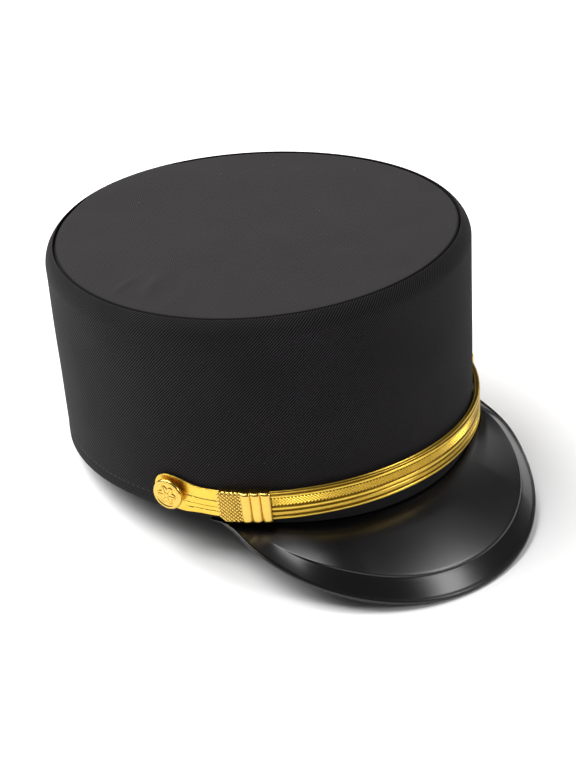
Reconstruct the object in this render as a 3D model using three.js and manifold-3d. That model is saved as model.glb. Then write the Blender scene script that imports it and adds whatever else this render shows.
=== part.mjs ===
// A uniform cap with a stiff drum-shaped crown, a short glossy peak and a gilt chin strap.
// Millimetres, +Z up, the peak towards -Y and the wearer's right side towards -X.
// It stands as it would by itself, on the tip of its peak and the back of its rim.
import * as THREE from "three";
import { mergeVertices } from "three/addons/utils/BufferGeometryUtils.js";
import Module from "manifold-3d";

const wasm = await Module();
wasm.setup();

// Driving dimensions. A turn is an angle round the crown, from the front, positive to the wearer's left.
const gap = 0.3; // clearance between neighbouring pieces

const crown = {
  rimLong: 101.4, // half of the lower oval, front to back
  rimWide: 90.6, // half of the lower oval, side to side
  topLong: 102.8,
  topWide: 94.4,
  fullerFront: 0.049, // how much wider the top oval is ahead of its middle
  height: 101.1, // at the middle of the top
  topFall: 0.034, // the top falls this much a millimetre towards the back
  edgeRadius: 5,
  wall: 2.4,
  rimArch: 3.6, // the rim is this much higher over the ears
  rimWave: 0.56,
  rimPressed: 0.4, // how far the cloth at the back of the rim is pressed flat where it rests
};

const topPanel = {
  seamInset: 4.6, // from the outside of the crown to the seam
  seamDepth: 0.6, // how far the panel's edge lies below the turned-in edge at the seam
  turnedIn: 2, // thickness of the turned-in edge of the side
  dome: 1.2,
  thickness: 2,
  margin: 1.2, // thickness of the margin under the turned-in edge
  marginInside: 2.5, // how far the margin reaches in from the seam
};

const peak = {
  thickness: 1.6,
  crest: 6.3, // how high the surface stands over a straight line from root to edge
  bow: 0.5, // how much the inner field and the band along the edge are convex
  fieldRise: 0.8, // step from the band along the edge up to the inner field
  bandWide: 11.1,
  bandMost: 0.8, // share of the peak that the band takes at most, towards the ends
  stepFades: 19, // the step fades where the peak reaches out less than this
  bead: 0.6,
  beadWide: 1.6,
  endsThin: 7, // the peak thins towards its ends, where it reaches out less than this
  flange: 8, // height of the sewn edge inside the crown
  flangeThick: 1.5,
};

// The outer edge of the peak: an angle from the front, how far from the middle, and how high.
const peakEdge = [
  { angle: 0, reach: 143.5, height: -29.8 },
  { angle: 12, reach: 140.9, height: -27.7 },
  { angle: 24, reach: 133.2, height: -21.5 },
  { angle: 35, reach: 122.3, height: -12.7 },
  { angle: 44, reach: 111, height: -3.9 },
  { angle: 50, reach: 100.8, height: 1.6 },
  { angle: 54, reach: 95.7, height: 2.6 },
  { angle: 56.5, reach: 94.4, height: 2.7 },
];

const strap = {
  width: 13.8,
  innerOff: 1, // from the crown to the back of the inner strap
  innerThick: 0.8,
  outerOff: 2.1,
  outerThick: 1.4,
  tabRadius: 8.6, // the round end under a button
  neck: [15, 3], // it widens from this far before the button's middle to this far
  endInside: 3, // each strap ends inside a slide, this far from the slide's end
  comesDown: 4, // degrees in which the outer strap comes down to the crown behind its slide
  stretchedFrom: 40, // turn from which the run on the left is stretched to its button
};

// How high the middle of the strap runs on the crown, from the front to the button.
const strapRun = [
  { angle: 0, height: 14.5 },
  { angle: 29, height: 13.7 },
  { angle: 43, height: 12.8 },
  { angle: 54, height: 12.5 },
  { angle: 62, height: 13.2 },
  { angle: 69.3, height: 15.2 },
  { angle: 76, height: 16 },
];

const slide = {
  length: 23.2,
  ribbed: 13, // the plain ribs take this much of its length, from the front, and the rest is knurled
  height: 15.7,
  frontThick: 0.6,
  knurl: 0.3, // how far the knurled part stands proud
  rib: 1.1,
  ribs: 3,
  lowCorner: [4.2, 3.2], // length and height rounded off the lower corner at the knurled end
  topCorner: [2.4, 2.2],
  bevel: 1.5,
  backBevel: 0.3,
  hollowBevel: 0.4,
};

const button = {
  height: 15.2,
  radius: 7.4,
  thickness: 2.3,
  shankRadius: 2.2,
  stand: 3.5, // from the crown to the back of the disc
};

// The strap is drawn round on the crown, so the left slide and button sit further back.
const right = { sign: -1, slideFrom: 42.3, buttonTurn: 69.3 };
const left = { sign: 1, slideFrom: 59.5, buttonTurn: 79.8 };

const steps = { crown: 76, peak: 46, strapDegrees: 3.4, rib: 5 };

const colours = {
  cloth: new THREE.MeshStandardMaterial({ color: "#242324", roughness: 0.9, metalness: 0 }),
  plastic: new THREE.MeshStandardMaterial({ color: "#141314", roughness: 0.28, metalness: 0 }),
  gilt: new THREE.MeshStandardMaterial({ color: "#d9ab2e", roughness: 0.35, metalness: 0.9 }),
  brass: new THREE.MeshStandardMaterial({ color: "#e0b03a", roughness: 0.22, metalness: 1 }),
};

const radians = THREE.MathUtils.degToRad;
const lerp = THREE.MathUtils.lerp;
const steadily = (from, to, count) =>
  Array.from({ length: count + 1 }, (_, i) => lerp(from, to, i / count));

// Reads a table at an angle, on a smooth curve through its rows that is alike on both sides.
function tableReader(table, column) {
  const angles = table.map((row) => row.angle);
  const values = table.map((row) => row[column]);
  const curve = new THREE.CubicInterpolant(angles, values, 1);
  curve.settings = { endingStart: THREE.ZeroSlopeEnding, endingEnd: THREE.ZeroCurvatureEnding };
  return (angle) => curve.evaluate(Math.min(Math.abs(angle), angles.at(-1)))[0];
}

const edgeReach = tableReader(peakEdge, "reach");
const edgeHeight = tableReader(peakEdge, "height");
const strapHeight = tableReader(strapRun, "height");

// The left end of the strap runs as the right one does, only stretched to reach its button.
function strapMiddle(turn) {
  const stretch = THREE.MathUtils.smoothstep(turn, strap.stretchedFrom, left.buttonTurn);
  return strapHeight(turn - (left.buttonTurn - right.buttonTurn) * stretch);
}

// A closed solid through rings of points: the last ring meets the first, or flat caps close both ends.
function loft(rings, joined = false) {
  const count = rings[0].length;
  const points = rings.flat();
  const faces = [];
  const bands = joined ? rings.length : rings.length - 1;
  for (let i = 0; i < bands; i++) {
    const here = i * count;
    const next = ((i + 1) % rings.length) * count;
    for (let j = 0; j < count; j++) {
      const k = (j + 1) % count;
      faces.push(here + j, here + k, next + k, here + j, next + k, next + j);
    }
  }
  if (!joined) {
    const last = (rings.length - 1) * count;
    for (const [a, b, c] of capFaces(rings[0])) faces.push(c, b, a);
    for (const [a, b, c] of capFaces(rings.at(-1))) faces.push(last + a, last + b, last + c);
  }
  const geometry = new THREE.BufferGeometry().setFromPoints(points).setIndex(faces);
  return solidOf(geometry);
}

// The triangles of a flat ring, turned the same way as the ring runs.
function capFaces(ring) {
  const normal = new THREE.Vector3();
  ring.forEach((p, i) => normal.add(p.clone().cross(ring[(i + 1) % ring.length])));
  const flat = new THREE.Quaternion().setFromUnitVectors(
    normal.normalize(),
    new THREE.Vector3(0, 0, 1),
  );
  const outline = ring.map((p) => {
    const turned = p.clone().applyQuaternion(flat);
    return new THREE.Vector2(turned.x, turned.y);
  });
  return THREE.ShapeUtils.triangulateShape(outline, []);
}

// A geometry as a solid that can be joined and cut, with its faces outwards.
function solidOf(geometry) {
  const bare = geometry.clone();
  bare.deleteAttribute("normal");
  bare.deleteAttribute("uv");
  const merged = mergeVertices(bare, 1e-4);
  const triVerts = new Uint32Array(merged.index.array);
  const asMesh = () =>
    new wasm.Mesh({ numProp: 3, vertProperties: merged.attributes.position.array, triVerts });
  const solid = new wasm.Manifold(asMesh());
  if (solid.volume() > 0) return solid;
  triVerts.reverse();
  return new wasm.Manifold(asMesh());
}

function meshOf(solid, name, material) {
  const { vertProperties, triVerts } = solid.getMesh();
  const geometry = new THREE.BufferGeometry();
  geometry.setAttribute("position", new THREE.BufferAttribute(new Float32Array(vertProperties), 3));
  geometry.setIndex(new THREE.BufferAttribute(new Uint32Array(triVerts), 1));
  geometry.computeVertexNormals();
  const mesh = new THREE.Mesh(geometry, material);
  mesh.name = name;
  return mesh;
}

// The crown's surfaces
const shoulder = crown.height - crown.edgeRadius;
const turns = steadily(-180, 180, steps.crown).slice(1).map(radians);

const rimHeight = (turn) =>
  crown.rimArch * Math.sin(turn) ** 2 - crown.rimWave * Math.cos(3 * turn);

function ovalPoint(turn, long, wide, fuller, height) {
  const x = wide * Math.sin(turn) * (1 + fuller * Math.cos(turn));
  return new THREE.Vector3(x, -long * Math.cos(turn), height);
}

// A point on the side of the crown, or off it by a distance outwards
function sidePoint(turn, height, off = 0) {
  const share = Math.min(height / shoulder, 1);
  const long = lerp(crown.rimLong, crown.topLong, share) + off;
  const wide = lerp(crown.rimWide, crown.topWide, share) + off;
  return ovalPoint(turn, long, wide, crown.fullerFront * share, height);
}

// A point near the top: a distance in from the side, and a level above or below the sloping top
function topPoint(turn, inset, level, share = 1) {
  const long = (crown.topLong - inset) * share;
  const wide = (crown.topWide - inset) * share;
  const point = ovalPoint(turn, long, wide, crown.fullerFront, crown.height + level);
  point.z -= crown.topFall * point.y;
  return point;
}

const rimRing = (off) => turns.map((turn) => sidePoint(turn, rimHeight(turn), off));
const topRing = (inset, level, share) => turns.map((turn) => topPoint(turn, inset, level, share));
const sideRing = (share, off) =>
  turns.map((turn) => {
    const foot = sidePoint(turn, rimHeight(turn), off);
    return foot.lerp(topPoint(turn, -off, -crown.edgeRadius), share);
  });

function crownSide() {
  const r = crown.edgeRadius;
  const wallShares = [1 / 3, 2 / 3];
  const roundEdge = steadily(0, 80, 4).map((degrees) => {
    const a = radians(degrees);
    return topRing(r * (1 - Math.cos(a)), r * (Math.sin(a) - 1));
  });
  const rings = [
    rimRing(0),
    ...wallShares.map((share) => sideRing(share, 0)),
    ...roundEdge,
    topRing(topPanel.seamInset, -topPanel.seamDepth / 2),
    topRing(topPanel.seamInset, -topPanel.turnedIn),
    topRing(crown.wall, -topPanel.turnedIn),
    ...wallShares.toReversed().map((share) => sideRing(share, -crown.wall)),
    rimRing(-crown.wall),
  ];
  return loft(rings, true);
}

function crownTop() {
  const edge = topPanel.seamInset + gap;
  const under = -topPanel.turnedIn - gap;
  const marginInset = crown.wall + gap;
  const domeAt = (share) => topPanel.dome * (1 - share * share) - topPanel.seamDepth / 2;
  const shares = [0.04, 0.3, 0.55, 0.78, 0.93];
  const upper = shares.map((share) => topRing(edge, domeAt(share), share));
  const lower = shares
    .toReversed()
    .map((share) => topRing(edge, domeAt(share) - topPanel.thickness, share));
  return loft([
    ...upper,
    topRing(edge, -topPanel.seamDepth),
    topRing(edge, under),
    topRing(marginInset, under),
    topRing(marginInset, under - topPanel.margin),
    topRing(edge + topPanel.marginInside, under - topPanel.margin),
    ...lower,
  ]);
}

// The peak, in upright planes through the crown's middle: each point is [reach, height]
function peakOutline(angle) {
  const a = radians(angle);
  const turn = Math.atan2(crown.rimLong * Math.sin(a), crown.rimWide * Math.cos(a));
  const rim = sidePoint(turn, rimHeight(turn));
  const root = new THREE.Vector2(Math.hypot(rim.x, rim.y), rim.z - gap);
  const edge = new THREE.Vector2(edgeReach(angle), edgeHeight(angle));
  const chord = edge.clone().sub(root);
  const length = chord.length();
  const up = new THREE.Vector2(-chord.y, chord.x).divideScalar(length);
  const long = Math.min(length / (edgeReach(0) - crown.rimLong), 1);
  const thickness = peak.thickness * Math.min(0.15 + length / peak.endsThin, 1);
  const bead = (peak.bead * thickness) / peak.thickness;
  const bandShare = Math.min(peak.bandWide / length, peak.bandMost);
  const beadShare = Math.min(peak.beadWide / length, bandShare / 2);
  const rise = peak.fieldRise * Math.min(length / peak.stepFades, 1);
  const field = 1 - bandShare;
  const crest = peak.crest * long * 4 * field * bandShare;
  const onSurface = (share, lift) => {
    const climbed = Math.min(share / field, (1 - share) / bandShare);
    const over = crest * climbed + peak.bow * long * 4 * climbed * (1 - climbed);
    return root.clone().addScaledVector(chord, share).addScaledVector(up, over + lift);
  };
  const inside = root.x - crown.wall - gap;
  return [
    new THREE.Vector2(inside, root.y + gap + peak.flange),
    new THREE.Vector2(inside, root.y),
    onSurface(0, 0),
    onSurface(field * 0.35, rise * 0.6),
    onSurface(field * 0.7, rise),
    onSurface(field - 0.012, rise),
    onSurface(field + 0.012, 0),
    onSurface(1 - beadShare * 1.6, 0),
    onSurface(1 - beadShare, bead),
    onSurface(1 - beadShare * 0.25, bead * 0.8),
    onSurface(1, 0),
    onSurface(1 - beadShare * 0.2, -thickness * 0.8),
    onSurface(1 - beadShare, -thickness),
    onSurface(field, -thickness),
    onSurface(field * 0.55, -thickness),
    onSurface(field * 0.15, -thickness),
    new THREE.Vector2(inside - peak.flangeThick, root.y - thickness),
    new THREE.Vector2(inside - peak.flangeThick, root.y + gap + peak.flange),
  ];
}

function peakSolid() {
  const widest = peakEdge.at(-1).angle;
  const rings = steadily(-widest, widest, steps.peak).map((angle) => {
    const a = radians(angle);
    return peakOutline(angle).map((p) => new THREE.Vector3(p.x * Math.sin(a), -p.x * Math.cos(a), p.y));
  });
  return loft(rings);
}

// Millimetres round the crown for each degree of turn, at the strap
function perDegree(turn) {
  const ends = [turn - 0.5, turn + 0.5].map((end) => sidePoint(radians(end), strapMiddle(end)));
  return ends[0].distanceTo(ends[1]);
}

// A place on the straps, some millimetres from the front end of a side's slide
const slideTurn = (side, along) => side.slideFrom + along / perDegree(side.slideFrom + 6);

// The straps. Half the height of a strap at a turn, with the round tab round the button at its end
function halfHeight(turn) {
  const { buttonTurn } = turn < 0 ? right : left;
  const fromButton = (Math.abs(turn) - buttonTurn) * perDegree(buttonTurn);
  const widened = THREE.MathUtils.smoothstep(fromButton, -strap.neck[0], -strap.neck[1]);
  const round = Math.sqrt(Math.max(strap.tabRadius ** 2 - fromButton ** 2, 0.3));
  return fromButton > 0 ? round : lerp(strap.width / 2, strap.tabRadius, widened);
}

// The round tab reaches this turn
const tabEnd = (side) => side.buttonTurn + (strap.tabRadius - 0.05) / perDegree(side.buttonTurn);

// A strap's section runs up its back and down its front, with ribs that thin it by a groove's depth
function strapRing(turn, off, thick, grooves) {
  const half = halfHeight(turn);
  const middle = strapMiddle(turn);
  const bevel = thick * 0.3;
  const rows = [
    [-1, bevel],
    [-1, thick - bevel],
    ...grooves.flatMap(([low, high, depth]) => [
      [low, thick],
      [low + 0.04, thick - depth],
      [high - 0.04, thick - depth],
      [high, thick],
    ]),
    [1, thick - bevel],
    [1, bevel],
    [0.94, 0],
    [-0.94, 0],
  ];
  return rows.map(([share, out]) => sidePoint(radians(turn), middle + share * half, off + out));
}

// Grooves along the straps: from and to as shares of half the height, and their depth
const innerGrooves = [
  [-0.45, -0.3, 0.2],
  [0.3, 0.45, 0.2],
];
const outerGrooves = [
  [-0.72, -0.6, 0.5],
  [-0.1, 0.06, 0.5],
  [0.66, 0.78, 0.4],
];

function strapSolid(fromTurn, toTurn, offAt, thick, grooves) {
  const turnsAlong = steadily(fromTurn, toTurn, Math.round((toTurn - fromTurn) / steps.strapDegrees));
  const side = fromTurn < -right.buttonTurn ? right : left;
  const tab = steadily(side.buttonTurn, tabEnd(side), 5).map((turn) => side.sign * turn);
  const all = [...turnsAlong, ...tab].sort((a, b) => a - b);
  const apart = all.filter((turn, i) => i === 0 || turn - all[i - 1] > 0.2);
  return loft(apart.map((turn) => strapRing(turn, offAt(turn), thick, grooves)));
}

const buttonFrame = (side) => {
  const turn = radians(side.sign * side.buttonTurn);
  const place = sidePoint(turn, button.height);
  const outwards = new THREE.Vector3(
    crown.rimLong * Math.sin(turn),
    -crown.rimWide * Math.cos(turn),
    0,
  ).normalize();
  return { place, outwards };
};

// The hole in a tab that the button's shank passes through
function shankHole(side) {
  const { place, outwards } = buttonFrame(side);
  const hole = new THREE.CylinderGeometry(button.shankRadius + gap, button.shankRadius + gap, 12, 20);
  hole.applyQuaternion(new THREE.Quaternion().setFromUnitVectors(new THREE.Vector3(0, 1, 0), outwards));
  hole.translate(place.x, place.y, place.z);
  return solidOf(hole);
}

function strapInner() {
  const ends = slideTurn(left, slide.length - strap.endInside);
  const offAt = () => strap.innerOff;
  const band = strapSolid(-tabEnd(right), ends, offAt, strap.innerThick, innerGrooves);
  return band.subtract(shankHole(right));
}

function strapOuter() {
  const starts = -slideTurn(right, slide.length - strap.endInside);
  const lands = slideTurn(left, slide.length); // past the slide it comes down to the crown
  const offAt = (turn) =>
    lerp(
      strap.outerOff,
      strap.innerOff,
      THREE.MathUtils.smoothstep(turn, lands, lands + strap.comesDown),
    );
  const band = strapSolid(starts, tabEnd(left), offAt, strap.outerThick, outerGrooves);
  return band.subtract(shankHole(left));
}

// How much of a rounded corner is missing at a distance from the slide's end
function cutCorner([length, height], fromEnd) {
  const share = 1 - Math.min(fromEnd / length, 1);
  return height * (1 - Math.sqrt(1 - share * share));
}

// A slide: a sleeve round both straps, whose front is knurled at one end and ribbed at the other
function slideSolid(side) {
  const { ribbed, bevel, backBevel, hollowBevel } = slide;
  const front = strap.outerOff + strap.outerThick + gap + slide.frontThick;
  const frontAt = (along) => {
    if (along > ribbed) return front + slide.knurl;
    const across = ((along / ribbed) * slide.ribs) % 1;
    return front + slide.rib * Math.sqrt(Math.max(1 - (2 * across - 1) ** 2, 0));
  };
  const step = ribbed + 0.05; // the last rib ends in an upright step
  const alongRibs = steadily(0, ribbed, slide.ribs * steps.rib);
  const alongKnurl = [step, ...steadily(slide.length - slide.lowCorner[0], slide.length, 6)];
  const half = slide.height / 2;
  const outer = loft(
    [...alongRibs, ...alongKnurl].map((along) => {
      const turn = side.sign * slideTurn(side, along);
      const out = frontAt(along);
      const low = -half + cutCorner(slide.lowCorner, slide.length - along);
      const top = half - cutCorner(slide.topCorner, slide.length - along);
      const rows = [
        [low + backBevel, gap],
        [low, gap + backBevel],
        [low, out - bevel],
        [low + bevel * 0.3, out - bevel * 0.3],
        [low + bevel, out],
        [top - bevel, out],
        [top - bevel * 0.3, out - bevel * 0.3],
        [top, out - bevel],
        [top, gap + backBevel],
        [top - backBevel, gap],
      ];
      return rows.map(([up, off]) => sidePoint(radians(turn), strapMiddle(turn) + up, off));
    }),
  );
  const inside = front - slide.frontThick;
  const innerHalf = strap.width / 2 + gap;
  const past = 2; // the hollow is cut right through both ends
  const inner = loft(
    steadily(-past, slide.length + past, 6).map((along) => {
      const turn = side.sign * slideTurn(side, along);
      const rows = [
        [-innerHalf, strap.innerOff - gap],
        [-innerHalf, inside - hollowBevel],
        [hollowBevel - innerHalf, inside],
        [innerHalf - hollowBevel, inside],
        [innerHalf, inside - hollowBevel],
        [innerHalf, strap.innerOff - gap],
      ];
      return rows.map(([up, off]) => sidePoint(radians(turn), strapMiddle(turn) + up, off));
    }),
  );
  return outer.subtract(inner);
}

// A shank button, turned about its own axis: a disc with a rim round a low dome
function buttonSolid() {
  const { radius, thickness, shankRadius, stand } = button;
  const face = stand + thickness;
  const profile = [
    [0, gap],
    [shankRadius, gap],
    [shankRadius, stand],
    [radius - 1.2, stand],
    [radius - 0.3, stand + 0.4],
    [radius, stand + 1.1],
    [radius - 0.2, face - 0.4],
    [radius - 0.9, face],
    [radius - 1.7, face - 0.2],
    [radius - 2, face - 0.8],
    [radius * 0.45, face - 0.4],
    [0, face - 0.2],
  ].map(([x, y]) => new THREE.Vector2(x, y));
  return solidOf(new THREE.LatheGeometry(profile, 28));
}

function buttonMesh(side, name) {
  const { place, outwards } = buttonFrame(side);
  const mesh = meshOf(buttonSolid(), name, colours.brass);
  mesh.position.copy(place);
  mesh.quaternion.setFromUnitVectors(new THREE.Vector3(0, 1, 0), outwards);
  return mesh;
}

// How the cap leans where it stands: the tip of the peak and the pressed back of the rim are level
const back = new THREE.Vector2(crown.rimLong, rimHeight(Math.PI) + crown.rimPressed);
const leans = peakOutline(0).map((p) => Math.atan2(back.y - p.y, back.x + p.x));
const lean = Math.max(...leans);
const lift = back.x * Math.sin(lean) - back.y * Math.cos(lean);

const cap = new THREE.Group();
cap.rotation.x = -lean;
cap.position.z = lift;
cap.updateMatrix();

// The level surface under the cap, as a block in the cap's own frame
function surfaceBelow() {
  const block = new THREE.BoxGeometry(400, 400, 20).translate(0, 0, -10);
  return solidOf(block.applyMatrix4(cap.matrix.clone().invert()));
}

cap.add(
  meshOf(crownSide().subtract(surfaceBelow()), "crown_side", colours.cloth),
  meshOf(crownTop(), "crown_top", colours.cloth),
  meshOf(peakSolid(), "peak", colours.plastic),
  meshOf(strapInner(), "strap_inner", colours.gilt),
  meshOf(strapOuter(), "strap_outer", colours.gilt),
  meshOf(slideSolid(right), "slide_right", colours.brass),
  meshOf(slideSolid(left), "slide_left", colours.brass),
  buttonMesh(right, "button_right"),
  buttonMesh(left, "button_left"),
);

// The origin lies on the surface, under the middle of the cap
const middle = new THREE.Box3().setFromObject(cap, true).getCenter(new THREE.Vector3());
cap.position.x -= middle.x;
cap.position.y -= middle.y;

const part = new THREE.Group();
part.add(cap);

export default part;
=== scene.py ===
import bpy
import bmesh
import math
from mathutils import Matrix, Quaternion, Vector, noise


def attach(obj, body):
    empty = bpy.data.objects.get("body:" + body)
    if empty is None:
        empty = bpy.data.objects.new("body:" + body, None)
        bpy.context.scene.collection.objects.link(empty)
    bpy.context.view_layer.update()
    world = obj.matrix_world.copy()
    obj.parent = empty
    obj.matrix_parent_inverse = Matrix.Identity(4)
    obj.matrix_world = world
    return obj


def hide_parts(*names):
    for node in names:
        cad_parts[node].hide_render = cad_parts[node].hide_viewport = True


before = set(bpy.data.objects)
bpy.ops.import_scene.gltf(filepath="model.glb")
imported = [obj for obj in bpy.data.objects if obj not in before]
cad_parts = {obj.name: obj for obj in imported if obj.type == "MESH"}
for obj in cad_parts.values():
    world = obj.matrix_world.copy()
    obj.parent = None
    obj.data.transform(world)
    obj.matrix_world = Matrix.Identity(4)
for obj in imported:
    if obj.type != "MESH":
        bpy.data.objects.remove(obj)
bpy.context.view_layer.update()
print("frame loaded")

mm = 0.001
gap = 0.3  # clearance between neighbouring pieces, mm

# The cap is shaped upright in its own frame, in mm, with the middle of its rim at the origin.
# It leans back where it stands, on the tip of its peak and the back of its rim: degrees, then mm.
stand = {"lean": 7.364, "aside": -1.091, "forward": 16.157, "lift": 12.044}
capToRow = (
    Matrix.Translation((stand["aside"] * mm, stand["forward"] * mm, stand["lift"] * mm))
    @ Matrix.Rotation(-math.radians(stand["lean"]), 4, "X")
    @ Matrix.Scale(mm, 4)
)

crown = {
    "rimLong": 101.4, "rimWide": 90.6,  # half ovals, front to back and side to side
    "topLong": 102.8, "topWide": 94.4,
    "fullerFront": 0.049,  # the top oval is fuller ahead of its middle
    "height": 101.1, "topFall": 0.034,
    "edgeRadius": 5.0, "wall": 2.4, "innerBevel": 0.4,
    "edgeTurn": 52.0,  # degrees the rounded edge turns through up to the seam
    "foldShade": 0.45,  # how much shade is painted on the fold beside the seam, from 0 to 1
    "rimArch": 3.6, "rimWave": 0.56,
    "hemFold": 1.2,  # radius of the folded lower edge
    "hemHeight": 6.2,  # stitch line above the lower edge
    "hemGroove": 0.35, "hemFuller": 0.2,
    "wallFrom": 11.0,  # where the plain wall starts above the lower edge
    "wave": 0.3, "waveSize": 42.0,  # how the stiff cloth undulates
    "around": 400,
    "foldPoints": 12, "seamPoints": 5, "insidePoints": 16,  # of each upright section
}

topPanel = {
    "seamInset": 4.4, "seamGap": 0.9, "seamDepth": 1.5, "turnedIn": 2.0,
    "lipShort": 0.15, "lipBelow": 0.25,  # where the side's fold ends, out from the seam and down
    "dome": 1.2, "below": 0.3, "thickness": 2.0, "edgeRoll": 1.2,
    "lifted": 1.0,  # how far it stands up over its seam at the back
    "liftedAt": -178, "liftWhole": 10, "liftEnds": 26,  # the middle of that, and how far off it ends
    "wave": 0.35, "waveSize": 55.0,
    "margin": 1.2, "marginInside": 2.5,
    "rings": 44,
}

peak = {
    "thickness": 1.6,
    "crest": 6.3, "bow": 0.5,  # how far it stands over a straight line, and how convex it is
    "fieldRise": 0.8, "fieldSwell": 0.25, "ridgeWide": 0.9, "stepFades": 19.0,
    "ridgeGone": -42, "ridgeWhole": -24,  # degrees: the ridge dies away towards the wearer's right
    "ridgeFrom": 2, "ridgeFull": 16,  # how wide the peak is where the ridge starts and is whole
    "bandWide": 11.1, "bandMost": 0.8,  # the lower band, at most this share of the peak's width
    "beadRadius": 1.0, "beadDrop": 0.4,
    "endsThin": 7.0,  # it thins towards its ends, where it reaches out less than this
    "flange": 8.0, "flangeThick": 1.5,
    "along": 220,
}

peakEdge = [
    {"angle": 0, "reach": 143.5, "height": -29.8},
    {"angle": 12, "reach": 140.9, "height": -27.7},
    {"angle": 24, "reach": 133.2, "height": -21.5},
    {"angle": 35, "reach": 122.3, "height": -12.7},
    {"angle": 44, "reach": 111.0, "height": -3.9},
    {"angle": 50, "reach": 100.8, "height": 1.6},
    {"angle": 54, "reach": 95.7, "height": 2.6},
    {"angle": 56.5, "reach": 94.4, "height": 2.7},
]

strap = {
    "width": 13.8, "tabRadius": 8.6,
    "innerOff": 1.0, "innerThick": 0.8, "innerGroove": 0.3,
    "outerOff": 2.1, "outerThick": 1.4, "outerGroove": 0.55,
    "neck": (15.0, 3.0),  # it widens from this far before the button's middle to this far
    "ribsEnd": (9.0, 6.0),  # and its ribs die away from this far to this far
    "landing": 4.0,  # degrees past the left slide in which the outer strap comes down to the crown
    "endInside": 3.0, "stepDegrees": 0.8,
    "edgeBevel": 0.3, "edgeBead": 0.9, "beadRise": 0.22,
}

strapRun = [
    {"angle": 0, "height": 14.5},
    {"angle": 29, "height": 13.7},
    {"angle": 43, "height": 12.8},
    {"angle": 54, "height": 12.5},
    {"angle": 62, "height": 13.2},
    {"angle": 69.3, "height": 15.2},
    {"angle": 76, "height": 16},
]

# Ribs of the outer strap, as shares of its width from the lower edge to the upper one
outerRibs = [
    {"low": 0.01, "high": 0.1, "rise": 1.0, "finish": "plain"},
    {"low": 0.155, "high": 0.3, "rise": 0.75, "finish": "beaded"},
    {"low": 0.335, "high": 0.465, "rise": 1.0, "finish": "plain"},
    {"low": 0.53, "high": 0.785, "rise": 0.5, "finish": "knurled"},
    {"low": 0.8, "high": 0.9, "rise": 1.0, "finish": "plain"},
    {"low": 0.955, "high": 1.0, "rise": 0.8, "finish": "plain"},
]

# The inner strap is nearly flat, with three fine grooves
innerRibs = [
    {"low": 0.0, "high": 0.17, "finish": "flat"},
    {"low": 0.2, "high": 0.34, "finish": "flat"},
    {"low": 0.36, "high": 0.555, "finish": "flat"},
    {"low": 0.585, "high": 1.0, "finish": "flat"},
]

slide = {
    "length": 23.2, "ribbed": 13.0, "height": 15.7,
    "frontThick": 0.6, "bevel": 1.5, "backBevel": 0.3,
    "rib": 1.1, "ribs": 3, "knurlRise": 0.1,
    "lowCorner": (4.2, 3.2), "topCorner": (2.4, 2.2),
}

button = {
    "height": 15.2, "radius": 7.4, "thickness": 2.3,
    "shankRadius": 2.2, "stand": 3.5, "rimWide": 1.1,
    "petals": 6, "around": 96,
    "rimEnds": 20,  # the last point of its profile that belongs to its rim
}

# The strap is drawn round on the crown, so the left slide and button sit further back
right = {"sign": -1, "slideFrom": 42.3, "buttonTurn": 69.3}
left = {"sign": 1, "slideFrom": 59.5, "buttonTurn": 79.8}


def lerp(a, b, share):
    return a + (b - a) * share


def steadily(low, high, count):
    return [lerp(low, high, i / count) for i in range(count + 1)]


def smooth(low, high, value):
    share = min(max((value - low) / (high - low), 0.0), 1.0)
    return share * share * (3 - 2 * share)


# Reads a column at an angle on a smooth curve through the rows, alike on both sides
def tableReader(rows, column):
    xs = [row["angle"] for row in rows]
    ys = [row[column] for row in rows]
    steps = [(ys[i + 1] - ys[i]) / (xs[i + 1] - xs[i]) for i in range(len(xs) - 1)]
    slopes = [0.0]
    for i in range(1, len(xs) - 1):
        share = (xs[i] - xs[i - 1]) / (xs[i + 1] - xs[i - 1])
        slopes.append(lerp(steps[i - 1], steps[i], share))
    slopes.append(steps[-1])

    def read(angle):
        x = min(abs(angle), xs[-1])
        i = max(k for k in range(len(xs) - 1) if xs[k] <= x)
        h = xs[i + 1] - xs[i]
        t = (x - xs[i]) / h
        rising = t * t * (3 - 2 * t)
        start = ys[i] * (1 - rising) + slopes[i] * h * t * (1 - t) ** 2
        return start + ys[i + 1] * rising - slopes[i + 1] * h * t * t * (1 - t)

    return read


edgeReach = tableReader(peakEdge, "reach")
edgeHeight = tableReader(peakEdge, "height")
strapHeight = tableReader(strapRun, "height")


# The left end of the strap runs as the right one does, only stretched to reach its button
def strapMiddle(turn):
    stretch = smooth(40, left["buttonTurn"], turn)
    return strapHeight(turn - (left["buttonTurn"] - right["buttonTurn"]) * stretch)


# The crown's surfaces. A turn is an angle round the crown in radians, from the front towards +X.
def rimHeight(turn):
    return crown["rimArch"] * math.sin(turn) ** 2 - crown["rimWave"] * math.cos(3 * turn)


def ovalPoint(turn, long, wide, fuller, height):
    x = wide * math.sin(turn) * (1 + fuller * math.cos(turn))
    return Vector((x, -long * math.cos(turn), height))


shoulder = crown["height"] - crown["edgeRadius"]


def sidePoint(turn, height, off=0.0):
    share = min(height / shoulder, 1.0)
    long = lerp(crown["rimLong"], crown["topLong"], share) + off
    wide = lerp(crown["rimWide"], crown["topWide"], share) + off
    return ovalPoint(turn, long, wide, crown["fullerFront"] * share, height)


def topPoint(turn, inset, level, share=1.0):
    long = (crown["topLong"] - inset) * share
    wide = (crown["topWide"] - inset) * share
    point = ovalPoint(turn, long, wide, crown["fullerFront"], crown["height"] + level)
    point.z -= crown["topFall"] * point.y
    return point


def outwards(turn):
    return Vector((crown["rimLong"] * math.sin(turn), -crown["rimWide"] * math.cos(turn), 0)).normalized()


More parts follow.
